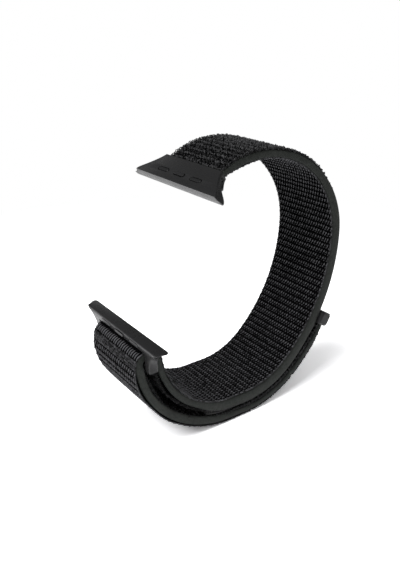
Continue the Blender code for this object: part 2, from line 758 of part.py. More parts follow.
def main():
    clear_scene()
    route, bar, tail_start, tail_end = band_route()
    route, bar = rest_on_foot(route, bar, tail_end)
    loop_end = tail_start - math.pi * fold_radius()

    sleeve_cover = upper_lug(route)[1]
    lower_lug(route, bar, loop_end)

    tip_start = tail_end - TIP_LENGTH
    peel_start = tip_start - PEEL_LENGTH
    hook_start = tail_end - HOOK_LENGTH
    hook_end = tail_end - TAB_OVERLAP - CLOTH_GAP
    half_gap = CLOTH_GAP / 2.0

    def hinge_point(distance):
        place, left, half = route.at(distance)
        return place - left * half

    peel_point = hinge_point(peel_start)
    tip_point = hinge_point(tip_start)
    peel = pivot("tail_peel", peel_point)
    tip = pivot("tip_peel", tip_point, peel, peel_point)

    band_strips("band", route.piece(sleeve_cover + CLOTH_GAP, peel_start - half_gap))
    hook_strip("band_hook_patch", route.piece(hook_start, peel_start - half_gap))
    tail = route.piece(peel_start + half_gap, tip_start - half_gap)
    band_strips("tail", tail, peel, peel_point)
    hook_strip("tail_hook_patch", tail, peel, peel_point)
    band_strips("tip", route.piece(tip_start + half_gap, tail_end), tip, tip_point)
    hook_strip("tip_hook_patch", route.piece(tip_start + half_gap, hook_end), tip, tip_point)
    end_tab(route, tail_end, tip, tip_point)


main()
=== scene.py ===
import math

import bmesh
import bpy
import numpy as np
from mathutils import Matrix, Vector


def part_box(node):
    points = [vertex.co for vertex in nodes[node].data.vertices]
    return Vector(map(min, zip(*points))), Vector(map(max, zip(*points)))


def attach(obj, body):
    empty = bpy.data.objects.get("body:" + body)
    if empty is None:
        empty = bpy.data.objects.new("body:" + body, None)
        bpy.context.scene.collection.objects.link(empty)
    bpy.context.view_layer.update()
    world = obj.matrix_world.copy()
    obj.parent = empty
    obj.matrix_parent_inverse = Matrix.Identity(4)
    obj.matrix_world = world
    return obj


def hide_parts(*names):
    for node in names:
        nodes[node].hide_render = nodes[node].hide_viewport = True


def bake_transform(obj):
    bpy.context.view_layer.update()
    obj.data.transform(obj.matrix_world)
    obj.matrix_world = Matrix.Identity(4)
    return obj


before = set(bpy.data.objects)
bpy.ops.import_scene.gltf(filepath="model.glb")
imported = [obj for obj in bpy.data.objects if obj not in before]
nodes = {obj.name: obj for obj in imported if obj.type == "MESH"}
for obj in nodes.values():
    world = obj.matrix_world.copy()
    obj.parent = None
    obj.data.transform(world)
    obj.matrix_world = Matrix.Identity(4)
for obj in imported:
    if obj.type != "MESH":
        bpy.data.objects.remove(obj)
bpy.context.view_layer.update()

mm = 0.001
hair = 0.01 * mm  # lets an evenly spaced row keep its last place
brightest = 1.2  # most tone that a stitch or a loop may have
scene = bpy.context.scene

# Mesh helpers


def quadMesh(name, points, quads, finish, tone=None):
    # points (n, 3) and quads (m, 4); turned inside out if the signed volume is negative
    points = np.asarray(points, dtype=float)
    a, b, c, d = (points[quads[:, k]] for k in range(4))
    volume = np.einsum("ij,ij->i", a, np.cross(b, c)).sum()
    volume += np.einsum("ij,ij->i", a, np.cross(c, d)).sum()
    if volume < 0.0:
        quads = quads[:, ::-1]
    mesh = bpy.data.meshes.new(name)
    mesh.from_pydata(points.tolist(), [], quads.tolist())
    mesh.shade_smooth()
    if tone is not None:
        layer = mesh.attributes.new("tone", "FLOAT", "POINT")
        layer.data.foreach_set("value", np.asarray(tone, dtype=np.float32))
    piece = bpy.data.objects.new(name, mesh)
    scene.collection.objects.link(piece)
    mesh.materials.append(finishes[finish])
    return piece


def tubeQuads(rings, sides):
    # quads of one closed tube: rings of equal count, both ends closed with strips of quads
    ring = np.arange(rings - 1)[:, None]
    side = np.arange(sides)[None, :]
    here, following = ring * sides + side, ring * sides + (side + 1) % sides
    wall = np.stack([here, following, following + sides, here + sides], axis=-1).reshape(-1, 4)
    step = np.arange(sides // 2 - 1)
    cap = np.stack([step, step + 1, sides - 2 - step, sides - 1 - step], axis=-1)
    return np.vstack([wall, cap[:, ::-1], cap + (rings - 1) * sides])


def copiesOf(quads, pointCount, copies):
    # the same quads once for each copy, each copy's indices moved on by its points
    offsets = np.arange(copies)[:, None, None] * pointCount
    return (quads[None, :, :] + offsets).reshape(-1, 4)


def sideAngles(sides):
    # corners round a tube, the first one half a side on from 0
    return (np.arange(sides) * 2.0 * math.pi / sides + math.pi / sides)[None, None, :]


def ease(share):
    # smooth step: 3 s^2 - 2 s^3 between 0 and 1
    share = np.clip(share, 0.0, 1.0)
    return share * share * (3.0 - 2.0 * share)


# Route of the band, as the solids have it

band = {
    "thickness": 3.2 * mm,
    "foldThickness": 2.5 * mm,
    "endThickness": 2.0 * mm,
    "pressRun": 9.0 * mm,
    "bendRadius": 30.0 * mm,
    "bendsToFoot": ((0.87, 26.5), (0.95, 63.0), (0.88, 29.5), (1.60, 48.5), (0.77, 41.5)),
    "bendsToLowerLug": ((0.40, 10.5), (0.83, 70.5)),
    "leadIn": 2.2 * mm,
    "footLength": 7.0 * mm,
    "leadOut": 1.0 * mm,
    "foldRadius": 2.65 * mm,
    "closedSpacing": 4.4 * mm,
    "settleRun": 34.0 * mm,
    "tailLength": 84.4 * mm,
    "tipLength": 12.0 * mm,
    "peelLength": 17.0 * mm,
    "step": 0.1 * mm,
    "foldSteps": 90,
}


def layRoute():
    # heading(s) = start - integral of curvature; place(s) = integral of (cos, sin) of heading
    radius = band["bendRadius"]
    stretches = [(band["leadIn"], 0.0)]
    stretches += [(share * radius * math.radians(turn), 1.0 / (share * radius))
                  for share, turn in band["bendsToFoot"]]
    stretches += [(band["footLength"], 0.0)]
    stretches += [(share * radius * math.radians(turn), 1.0 / (share * radius))
                  for share, turn in band["bendsToLowerLug"]]
    stretches += [(band["leadOut"], 0.0)]
    ends = np.cumsum([length for length, curve in stretches])
    curves = np.array([curve for length, curve in stretches])
    loopLength = ends[-1]
    count = int(loopLength / band["step"])
    loopRun = np.linspace(0.0, loopLength, count + 1)
    middles = (loopRun[1:] + loopRun[:-1]) / 2.0
    bend = curves[np.searchsorted(ends, middles)]
    step = loopRun[1]
    turned = math.radians(sum(turn for share, turn in band["bendsToFoot"]))
    heading = turned - math.pi - np.concatenate([[0.0], np.cumsum(bend * step)])
    halfway = (heading[1:] + heading[:-1]) / 2.0
    travel = np.stack([np.cos(halfway), np.sin(halfway)], axis=1) * step
    places = np.vstack([np.zeros(2), np.cumsum(travel, axis=0)])
    tangents = np.stack([np.cos(heading), np.sin(heading)], axis=1)
    lefts = np.stack([-np.sin(heading), np.cos(heading)], axis=1)

    # half circle round the bar
    around = band["foldRadius"]
    bar = places[-1] + lefts[-1] * around
    turn = np.linspace(0.0, math.pi, band["foldSteps"])[1:-1, None]
    foldLefts = lefts[-1] * np.cos(turn) - tangents[-1] * np.sin(turn)
    foldPlaces = bar - foldLefts * around

    # the tail lies outside the loop, at a spacing that eases to the closed one
    back = loopLength - loopRun[::-1]
    share = np.clip(back / band["settleRun"], 0.0, 1.0)
    change = band["closedSpacing"] - 2.0 * around
    spacing = (2.0 * around + change * ease(share))[:, None]
    slope = (change * 6.0 * share * (1.0 - share) / band["settleRun"])[:, None]
    curve = curves[np.minimum(np.searchsorted(ends, loopRun[::-1]), len(curves) - 1)][:, None]
    outward = lefts[::-1]
    tailPlaces = places[::-1] + outward * spacing
    tailLefts = -outward * (1.0 + curve * spacing) - tangents[::-1] * slope
    tailLefts /= np.linalg.norm(tailLefts, axis=1)[:, None]

    allPlaces = np.vstack([places, foldPlaces, tailPlaces])
    allLefts = np.vstack([lefts, foldLefts, tailLefts])
    run = np.concatenate([[0.0], np.cumsum(np.linalg.norm(np.diff(allPlaces, axis=0), axis=1))])
    tailStart = run[len(places) + len(foldPlaces)]
    return run, allPlaces, allLefts, loopLength, tailStart


routeRun, routePlaces, routeLefts, loopLength, tailStart = layRoute()
foldMiddle = (loopLength + tailStart) / 2.0
tailEnd = tailStart + band["tailLength"]
tipStart = tailEnd - band["tipLength"]
peelStart = tipStart - band["peelLength"]


def halfAt(run):
    # half thickness: the band is pressed thinner at both ends and at the fold
    def pressed(thickness, distance):
        rise = ease(distance / band["pressRun"])
        return (thickness + (band["thickness"] - thickness) * rise) / 2.0

    fromFold = np.maximum(loopLength - run, run - tailStart)
    return np.minimum.reduce([
        pressed(band["endThickness"], run),
        pressed(band["foldThickness"], fromFold),
        pressed(band["endThickness"], tailEnd - run),
    ])


faces = {
    "skinProud": 0.20 * mm,
    "swell": 0.50 * mm,
    "swellFrom": 165.0 * mm,
    "swellTo": 171.0 * mm,
    "swellEase": (3.0 * mm, 9.0 * mm),
    "restsBelow": 0.20 * mm,
    "restsFrom": 186.0 * mm,
    "restsTo": 202.0 * mm,
    "restsEase": (6.0 * mm, 8.0 * mm),
    "pileBelow": 0.12 * mm,
    "pressedBelow": 0.20 * mm,
    "pressedFrom": 3.0 * mm,
    "pressedTo": 22.0 * mm,
    "pressedEase": (6.0 * mm, 16.0 * mm),
    "liftedAbove": 0.45 * mm,
    "liftedFrom": 84.0 * mm,
    "liftedTo": 120.0 * mm,
    "liftedEase": (8.0 * mm, 10.0 * mm),
}


def hump(run, start, end, eases):
    # 0 outside, 1 inside, with a smooth step at each side
    return ease((run - start) / eases[0]) * (1.0 - ease((run - end) / eases[1]))


def skinFace(run):
    # the woven face is a little proud, swells where the band comes out of its sewn fold, and is
    # pressed flat where it rests on the floor
    swell = hump(run, faces["swellFrom"], faces["swellTo"], faces["swellEase"])
    rests = hump(run, faces["restsFrom"], faces["restsTo"], faces["restsEase"])
    change = faces["swell"] * swell - faces["restsBelow"] * rests
    return halfAt(run) + faces["skinProud"] + change


def pileFace(run):
    # the pile's tips lie near the solid's face, lower where the band is still pressed by the lug,
    # and higher where the hooks of the tail pull at them
    pressed = hump(run, faces["pressedFrom"], faces["pressedTo"], faces["pressedEase"])
    lifted = hump(run, faces["liftedFrom"], faces["liftedTo"], faces["liftedEase"])
    change = faces["liftedAbove"] * lifted - faces["pressedBelow"] * pressed
    return halfAt(run) - faces["pileBelow"] + change


def onBand(run, across, out):
    # (run along the band, across its width, out towards the pile side) to a place in the frame
    x, z = (np.interp(run, routeRun, routePlaces[:, k]) for k in (0, 1))
    leftX, leftZ = (np.interp(run, routeRun, routeLefts[:, k]) for k in (0, 1))
    return np.stack([x + leftX * out, across + 0.0 * x, z + leftZ * out], axis=-1)


# seat the route on the solids: same middle in X, same lowest point
worn = routeRun[routeRun <= tailEnd]
bothSides = np.vstack([onBand(worn, 0.0, halfAt(worn)), onBand(worn, 0.0, -halfAt(worn))])
low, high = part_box("band_near_binding")
routePlaces[:, 0] += (low.x + high.x) / 2.0 - (bothSides[:, 0].min() + bothSides[:, 0].max()) / 2.0
routePlaces[:, 1] += low.z - bothSides[:, 2].min()
print("route laid: loop", round(loopLength / mm, 2), "mm, whole band", round(tailEnd / mm, 2), "mm")

# Material helpers


def shader(name, color, roughness, metallic=0.0):
    made = bpy.data.materials.new(name)
    made.use_nodes = True
    surface = made.node_tree.nodes["Principled BSDF"]
    surface.inputs["Base Color"].default_value = (*color, 1.0)
    surface.inputs["Roughness"].default_value = roughness
    surface.inputs["Metallic"].default_value = metallic
    return made, made.node_tree, surface


def addNode(tree, kind, values=None, **settings):
    # settings are the node's own properties; values are numbers or sockets for its inputs
    node = tree.nodes.new(kind)
    for key, value in settings.items():
        setattr(node, key, value)
    for key, value in (values or {}).items():
        if isinstance(value, bpy.types.NodeSocket):
            tree.links.new(value, node.inputs[key])
        else:
            node.inputs[key].default_value = value
    return node


def addMath(tree, operation, first, second):
    return addNode(tree, "ShaderNodeMath", {0: first, 1: second}, operation=operation).outputs[0]


def newGroup(name, inputs, outputs):
    group = bpy.data.node_groups.new(name, "ShaderNodeTree")
    for title, kind, value in inputs:
        socket = group.interface.new_socket(title, in_out="INPUT", socket_type="NodeSocket" + kind)
        socket.default_value = value
    for title, kind in outputs:
        group.interface.new_socket(title, in_out="OUTPUT", socket_type="NodeSocket" + kind)
    entry = group.nodes.new("NodeGroupInput")
    leave = group.nodes.new("NodeGroupOutput")
    return group, entry, leave


yarnLook = {
    "fibreDetail": 4.0,
    "driftScale": 160.0,
    "driftDetail": 2.0,
    "sheenRoughness": 0.4,
    "reliefStrength": 0.5,
    "reliefDepth": 0.04 * mm,
}


def yarnGroup():
    # share = tone + speckle (fine noise - 1/2) + drift (broad noise - 1/2), from dark to light yarn
    group, entry, leave = newGroup("yarnTone", (
        ("Tone", "Float", 0.5), ("Fibre Scale", "Float", 4000.0), ("Speckle", "Float", 0.5),
        ("Drift", "Float", 0.3), ("Dark", "Color", (0.0, 0.0, 0.0, 1.0)),
        ("Light", "Color", (0.1, 0.1, 0.1, 1.0)),
    ), (("Color", "Color"), ("Height", "Float")))
    place = addNode(group, "ShaderNodeTexCoord").outputs["Object"]
    fibre = addNode(group, "ShaderNodeTexNoise", {
        "Vector": place, "Scale": entry.outputs["Fibre Scale"],
        "Detail": yarnLook["fibreDetail"]}).outputs["Fac"]
    broad = addNode(group, "ShaderNodeTexNoise", {
        "Vector": place, "Scale": yarnLook["driftScale"],
        "Detail": yarnLook["driftDetail"]}).outputs["Fac"]
    fine = addMath(group, "MULTIPLY", addMath(group, "SUBTRACT", fibre, 0.5),
                   entry.outputs["Speckle"])
    wide = addMath(group, "MULTIPLY", addMath(group, "SUBTRACT", broad, 0.5),
                   entry.outputs["Drift"])
    share = addMath(group, "ADD", addMath(group, "ADD", entry.outputs["Tone"], fine), wide)
    mixed = addNode(group, "ShaderNodeMix", data_type="RGBA")
    group.links.new(share, mixed.inputs["Factor"])
    group.links.new(entry.outputs["Dark"], mixed.inputs[6])
    group.links.new(entry.outputs["Light"], mixed.inputs[7])
    group.links.new(mixed.outputs[2], leave.inputs["Color"])
    group.links.new(fibre, leave.inputs["Height"])
    return group


grainLook = {
    "grainDetail": 3.0,
    "smudgeScale": 260.0,
    "smudgeDetail": 3.0,
    "edgeFrom": 0.53,
    "edgeTo": 0.62,
    "grainRough": 0.10,
    "smudgeRough": 0.16,
    "reliefStrength": 0.4,
}


def grainGroup():
    # fine grain in the relief and the roughness, broad smudges, and a paler tone on worn edges
    group, entry, leave = newGroup("moldedGrain", (
        ("Base", "Color", (0.1, 0.1, 0.1, 1.0)), ("Worn", "Color", (0.2, 0.2, 0.2, 1.0)),
        ("Wear", "Float", 0.5), ("Roughness", "Float", 0.4), ("Grain Scale", "Float", 6000.0),
        ("Stretch", "Vector", (1.0, 1.0, 1.0)),
    ), (("Color", "Color"), ("Roughness", "Float"), ("Height", "Float")))
    place = addNode(group, "ShaderNodeTexCoord").outputs["Object"]
    laid = addNode(group, "ShaderNodeVectorMath", {0: place, 1: entry.outputs["Stretch"]},
                   operation="MULTIPLY").outputs[0]
    grain = addNode(group, "ShaderNodeTexNoise", {
        "Vector": laid, "Scale": entry.outputs["Grain Scale"],
        "Detail": grainLook["grainDetail"]}).outputs["Fac"]
    smudge = addNode(group, "ShaderNodeTexNoise", {
        "Vector": place, "Scale": grainLook["smudgeScale"],
        "Detail": grainLook["smudgeDetail"]}).outputs["Fac"]
    edge = addNode(group, "ShaderNodeNewGeometry").outputs["Pointiness"]
    edge = addNode(group, "ShaderNodeMapRange", {
        "Value": edge, "From Min": grainLook["edgeFrom"],
        "From Max": grainLook["edgeTo"]}).outputs["Result"]
    worn = addMath(group, "MULTIPLY", edge, entry.outputs["Wear"])
    mixed = addNode(group, "ShaderNodeMix", data_type="RGBA")
    group.links.new(worn, mixed.inputs["Factor"])
    group.links.new(entry.outputs["Base"], mixed.inputs[6])
    group.links.new(entry.outputs["Worn"], mixed.inputs[7])
    # roughness + grain and smudge, both about 0
    smudge = addMath(group, "MULTIPLY", addMath(group, "SUBTRACT", smudge, 0.5),
                     grainLook["smudgeRough"])
    rough = addMath(group, "MULTIPLY", grain, grainLook["grainRough"])
    rough = addMath(group, "ADD", rough, smudge)
    rough = addMath(group, "SUBTRACT", rough, grainLook["grainRough"] / 2.0)
    rough = addMath(group, "ADD", rough, entry.outputs["Roughness"])
    group.links.new(mixed.outputs[2], leave.inputs["Color"])
    group.links.new(rough, leave.inputs["Roughness"])
    group.links.new(grain, leave.inputs["Height"])
    return group


yarnTone = yarnGroup()
moldedGrain = grainGroup()


def bumpTo(tree, surface, height, strength, distance):
    bump = addNode(tree, "ShaderNodeBump", {
        "Height": height, "Strength": strength, "Distance": distance})
    tree.links.new(bump.outputs["Normal"], surface.inputs["Normal"])


def yarnMaterial(name, dark, light, fibreScale, speckle, drift, roughness, gloss, sheen):
    # dull yarn: each stitch has its own tone, fine filaments run over it
    made, tree, surface = shader(name, light, roughness)
    tone = addNode(tree, "ShaderNodeAttribute", attribute_name="tone").outputs["Fac"]
    cloth = addNode(tree, "ShaderNodeGroup", {
        "Tone": tone, "Fibre Scale": fibreScale, "Speckle": speckle, "Drift": drift,
        "Dark": (*dark, 1.0), "Light": (*light, 1.0)}, node_tree=yarnTone)
    tree.links.new(cloth.outputs["Color"], surface.inputs["Base Color"])
    surface.inputs["Sheen Weight"].default_value = sheen
    surface.inputs["Sheen Roughness"].default_value = yarnLook["sheenRoughness"]
    surface.inputs["Specular IOR Level"].default_value = gloss
    bumpTo(tree, surface, cloth.outputs["Height"], yarnLook["reliefStrength"],
           yarnLook["reliefDepth"])
    return made


def hardMaterial(name, base, worn, wear, roughness, gloss, grainScale, grainDepth,
                 metallic=0.0, stretch=(1.0, 1.0, 1.0)):
    # blasted or moulded surface: fine grain, faint smudges, slightly paler edges
    made, tree, surface = shader(name, base, roughness, metallic)
    grain = addNode(tree, "ShaderNodeGroup", {
        "Base": (*base, 1.0), "Worn": (*worn, 1.0), "Wear": wear, "Roughness": roughness,
        "Grain Scale": grainScale, "Stretch": stretch}, node_tree=moldedGrain)
    tree.links.new(grain.outputs["Color"], surface.inputs["Base Color"])
    tree.links.new(grain.outputs["Roughness"], surface.inputs["Roughness"])
    surface.inputs["Specular IOR Level"].default_value = gloss
    bumpTo(tree, surface, grain.outputs["Height"], grainLook["reliefStrength"], grainDepth)
    return made


yarns = {
    "skinYarn": {"dark": (0.003, 0.003, 0.0032), "light": (0.076, 0.076, 0.081),
                 "fibreScale": 5200.0, "speckle": 0.5, "drift": 0.25,
                 "roughness": 0.5, "gloss": 0.08, "sheen": 0.03},
    "pileYarn": {"dark": (0.002, 0.002, 0.0022), "light": (0.056, 0.056, 0.058),
                 "fibreScale": 4200.0, "speckle": 0.5, "drift": 0.25,
                 "roughness": 0.6, "gloss": 0.06, "sheen": 0.05},
    # painted shade: the ground cloth's yarn is near black so that the grooves between the stitches
    # look dark
    "groovesShadeCloth": {"dark": (0.0010, 0.0010, 0.0010), "light": (0.0035, 0.0035, 0.0040),
                  "fibreScale": 3000.0, "speckle": 0.5, "drift": 0.2,
                  "roughness": 0.9, "gloss": 0.0, "sheen": 0.0},
    "bindingYarn": {"dark": (0.005, 0.006, 0.005), "light": (0.031, 0.034, 0.031),
                    "fibreScale": 1700.0, "speckle": 1.1, "drift": 0.5,
                    "roughness": 0.6, "gloss": 0.10, "sheen": 0.03},
    "hookYarn": {"dark": (0.010, 0.010, 0.010), "light": (0.110, 0.110, 0.112),
                 "fibreScale": 2600.0, "speckle": 0.6, "drift": 0.2,
                 "roughness": 0.6, "gloss": 0.15, "sheen": 0.0},
}
hardFinishes = {
    "lugFinish": {"base": (0.0135, 0.0135, 0.0139), "worn": (0.026, 0.026, 0.027), "wear": 0.15,
                  "roughness": 0.28, "gloss": 0.17, "grainScale": 9000.0,
                  "grainDepth": 0.004 * mm},
    "padFinish": {"base": (0.009, 0.009, 0.0095), "worn": (0.020, 0.020, 0.021), "wear": 0.2,
                  "roughness": 0.34, "gloss": 0.25, "grainScale": 5000.0,
                  "grainDepth": 0.004 * mm},
    "tabFinish": {"base": (0.013, 0.013, 0.014), "worn": (0.035, 0.035, 0.036), "wear": 0.2,
                  "roughness": 0.32, "gloss": 0.12, "grainScale": 4200.0,
                  "grainDepth": 0.008 * mm},
    "pinFinish": {"base": (0.014, 0.014, 0.015), "worn": (0.040, 0.040, 0.041), "wear": 0.2,
                  "roughness": 0.35, "gloss": 0.30, "grainScale": 5000.0,
                  "grainDepth": 0.004 * mm},
    "steelFinish": {"base": (0.30, 0.30, 0.31), "worn": (0.45, 0.45, 0.46), "wear": 0.5,
                    "roughness": 0.30, "gloss": 0.5, "grainScale": 5000.0,
                    "grainDepth": 0.004 * mm, "metallic": 1.0, "stretch": (1.0, 0.08, 1.0)},
}
finishes = {name: yarnMaterial(name, **look) for name, look in yarns.items()}
finishes.update({name: hardMaterial(name, **look) for name, look in hardFinishes.items()})
print("materials made")

# Woven band: stretches of it; those without a hinge ride on the band's body, the others keep their
# place as laid

cuts = {
    "start": 1.6 * mm,
    "beforePeel": 5.6 * mm,
    "beforeTip": 6.5 * mm,
    "blendHalf": 4.0 * mm,
}
peelCut = peelStart - cuts["beforePeel"]
tipCut = tipStart - cuts["beforeTip"]
stretches = (
    {"name": "inner", "from": cuts["start"], "to": foldMiddle, "node": "band", "blend": None},
    {"name": "outer", "from": foldMiddle, "to": peelCut, "node": "band", "blend": None},
    {"name": "tail", "from": peelCut, "to": tipCut, "node": "tail",
     "blend": ("band", "tail", peelStart)},
    {"name": "tip", "from": tipCut, "to": tailEnd, "node": "tip",
     "blend": ("tail", "tip", tipStart)},
)


def placeOnBodies(piece, stretch, layer):
    # a piece without a hinge rides on the band's body, one with a hinge keeps its place as laid; it
    # stands for its own layer
    if stretch["blend"]:
        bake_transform(piece)
    else:
        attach(piece, "band")
    if layer:
        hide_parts(stretch["node"] + "_" + layer)


def sweepStrip(start, end, outline, step, outwards=halfAt):
    # closed outline of (across, face, out in metres) along the band: face 1 is measured from
    # outwards(run) on the pile side, -1 from the woven face, 0 from the middle
    stations = np.linspace(start, end, max(3, int((end - start) / step)))
    across, face, offset = (np.array(column)[None, :] for column in zip(*outline))
    run = stations[:, None] + 0.0 * across
    out = np.where(face > 0.0, outwards(run), np.where(face < 0.0, -skinFace(run), 0.0)) + offset
    points = onBand(run, across + 0.0 * run, out)
    return points.reshape(-1, 3), tubeQuads(len(stations), len(outline))


weave = {
    "rowPitch": 1.93 * mm,
    "pitch": 0.972 * mm,
    "halfAcross": 10.7 * mm,
    "slantDeg": 13.0,
    "slantSpreadDeg": 4.0,
    "growSpread": 0.08,
    "lift": 0.16 * mm,
    "jitter": 0.03 * mm,
    "seed": 11,
    # a stitch's rings from end to end, how blunt its ends are, its corners round
    "rings": (-0.97, -0.62, 0.0, 0.62, 0.97),
    "blunt": 2.6,
    "sides": 6,
    # share of a row by which the cut between two stretches lies further on
    "cutShift": 0.2,
    # phase in the row, shift across in pitches, size, height of its top on the face, tone
    "floats": {"phase": 0.34, "shift": 0.0, "length": 0.86 * mm, "width": 0.41 * mm,
               "rise": 0.42 * mm, "top": 0.06 * mm, "tone": 1.0, "spread": 0.30},
    "ties": {"phase": 0.74, "shift": 0.5, "length": 0.58 * mm, "width": 0.38 * mm,
             "rise": 0.34 * mm, "top": -0.14 * mm, "tone": 0.52, "spread": 0.18},
    # a close line of stitches along each edge, short of the stretch's ends
    "edge": {"pitch": 0.643 * mm, "across": 10.72 * mm, "ends": (0.5 * mm, 0.4 * mm),
             "length": 0.80 * mm, "width": 0.42 * mm, "rise": 0.42 * mm, "top": -0.06 * mm,
             "tone": 0.30, "spread": 0.20},
}
foldRows = {
    # the fold is sewn: one row of long ribs under the lug, then fine rows packed close
    "clearFrom": 161.2 * mm,
    "clearTo": 165.6 * mm,
    "ribs": {"rows": (163.2 * mm,), "pitch": 0.95 * mm, "shift": 0.0, "length": 1.45 * mm,
             "width": 0.36 * mm, "rise": 0.5 * mm, "top": 0.18 * mm, "tone": 1.2,
             "spread": 0.20},
    "fine": {"rows": (161.3 * mm, 161.8 * mm, 164.25 * mm, 164.7 * mm, 165.15 * mm, 165.6 * mm),
             "pitch": 0.475 * mm, "shift": 0.5, "length": 0.46 * mm, "width": 0.30 * mm,
             "rise": 0.3 * mm, "top": -0.02 * mm, "tone": 0.42, "spread": 0.30},
}


def stitches(runs, acrosses, kind, rng):
    # a stitch is a flattened capsule: at t along it, radius (1 - |t|^blunt)^0.5, and its middle
    # lifts by lift (1 - t^2); it lies in (run, across, out) and is then carried on to the band
    count = len(runs)
    t = np.array(weave["rings"])[None, :, None]
    angle = sideAngles(weave["sides"])
    radius = np.sqrt(1.0 - np.abs(t) ** weave["blunt"])
    grow = (1.0 + weave["growSpread"] * rng.standard_normal(count))[:, None, None]
    slant, spread = math.radians(weave["slantDeg"]), math.radians(weave["slantSpreadDeg"])
    turn = (slant + spread * rng.standard_normal(count))[:, None, None]
    along = t * (kind["length"] / 2.0) * grow + 0.0 * angle
    lateral = np.cos(angle) * kind["width"] / 2.0 * radius * np.sqrt(grow)
    up = np.sin(angle) * kind["rise"] / 2.0 * radius - weave["lift"] * t * t
    run = runs[:, None, None] + along * np.cos(turn) - lateral * np.sin(turn)
    across = acrosses[:, None, None] + along * np.sin(turn) + lateral * np.cos(turn)
    out = -(skinFace(run) + kind["top"] - kind["rise"] / 2.0 + up)
    tone = np.clip(kind["tone"] + kind["spread"] * rng.standard_normal(count), 0.0, brightest)
    rings, sides = len(weave["rings"]), weave["sides"]
    quads = copiesOf(tubeQuads(rings, sides), rings * sides, count)
    return onBand(run, across, out).reshape(-1, 3), quads, np.repeat(tone, rings * sides)


def joinParts(parts):
    # one mesh of several: the quads of each part are moved on by the points before it
    points, quads, tones, offset = [], [], [], 0
    for partPoints, partQuads, partTones in parts:
        points.append(partPoints)
        quads.append(partQuads + offset)
        tones.append(partTones)
        offset += len(partPoints)
    return np.vstack(points), np.vstack(quads), np.concatenate(tones)


def stitchRows(rows, pitch, shift, kind, rng):
    # every row crossed with every column, each stitch then moved a little at random
    reach = weave["halfAcross"]
    columns = np.arange(-reach + shift * pitch, reach + hair, pitch)
    run, across = np.meshgrid(rows, columns, indexing="ij")
    run, across = run.ravel(), across.ravel()
    run = run + weave["jitter"] * rng.standard_normal(run.shape)
    across = across + weave["jitter"] * rng.standard_normal(run.shape)
    return stitches(run, across, kind, rng)


def skinRows(stretch, kind):
    # the rows of one kind that lie on this stretch, none of them in the sewn fold
    shift = weave["cutShift"] - kind["phase"]
    first = math.ceil(stretch["from"] / weave["rowPitch"] + shift)
    last = math.floor(stretch["to"] / weave["rowPitch"] + shift)
    rows = (np.arange(first, last + 1) + kind["phase"]) * weave["rowPitch"]
    return rows[(rows < foldRows["clearFrom"]) | (rows > foldRows["clearTo"])]


def layWeave(stretch):
    # woven side: rows of floats with ties between them, the sewn rows of the fold, the edge lines
    rng = np.random.default_rng(weave["seed"])
    for title, layer in (("floats", "skin_layer"), ("ties", None)):
        kind = weave[title]
        parts = [stitchRows(skinRows(stretch, kind), weave["pitch"], kind["shift"], kind, rng)]
        if stretch["name"] == "outer" and title == "floats":
            for sewn in (foldRows["ribs"], foldRows["fine"]):
                rows = np.array(sewn["rows"])
                parts.append(stitchRows(rows, sewn["pitch"], sewn["shift"], sewn, rng))
        if title == "ties":
            edge = weave["edge"]
            start, end = stretch["from"] + edge["ends"][0], stretch["to"] - edge["ends"][1]
            line = np.arange(start, end, edge["pitch"])
            for side in (-1.0, 1.0):
                parts.append(stitches(line, side * edge["across"] + 0.0 * line, edge, rng))
        points, quads, tones = joinParts(parts)
        name = stretch["name"] + "Skin" + title.capitalize()
        piece = quadMesh(name, points, quads, "skinYarn", tones)
        placeOnBodies(piece, stretch, layer)


edging = {
    "outer": 11.0 * mm,
    "inner": 9.9 * mm,
    "power": 2.5,
    "sides": 18,
    "ribPitch": 0.62 * mm,
    "ribDepth": 0.010 * mm,
    "step": 0.155 * mm,
    "tone": 0.5,
    # the tape wanders over the side of the band: its two edges in mm from the middle, at each run
    "run": (0, 6, 14, 22, 38, 54, 78, 90, 98, 118, 126, 134, 150, 158, 166, 174, 182, 190, 198,
            206, 214, 222, 238, 246, 250),
    "skinEdge": (-0.90, -1.40, -1.55, -1.55, -1.20, -1.25, -1.25, -1.10, -1.20, -1.05, -1.35,
                 -1.50, -1.20, -1.05, -1.10, -1.10, -1.00, -0.95, -0.95, -1.00, -1.25, -1.20,
                 -1.30, -1.30, -1.0),
    "pileEdge": (0.50, 0.65, 0.55, 0.40, 1.10, 1.90, 2.10, 2.30, 2.45, 2.40, 1.75, 0.60, 0.40,
                 0.70, 1.15, 0.95, 1.25, 1.50, 1.50, 1.10, 0.50, 0.35, 0.10, 0.10, 0.10),
}


def bindingEdge(run, side):
    return np.interp(run, np.array(edging["run"]) * mm, np.array(edging[side]) * mm)


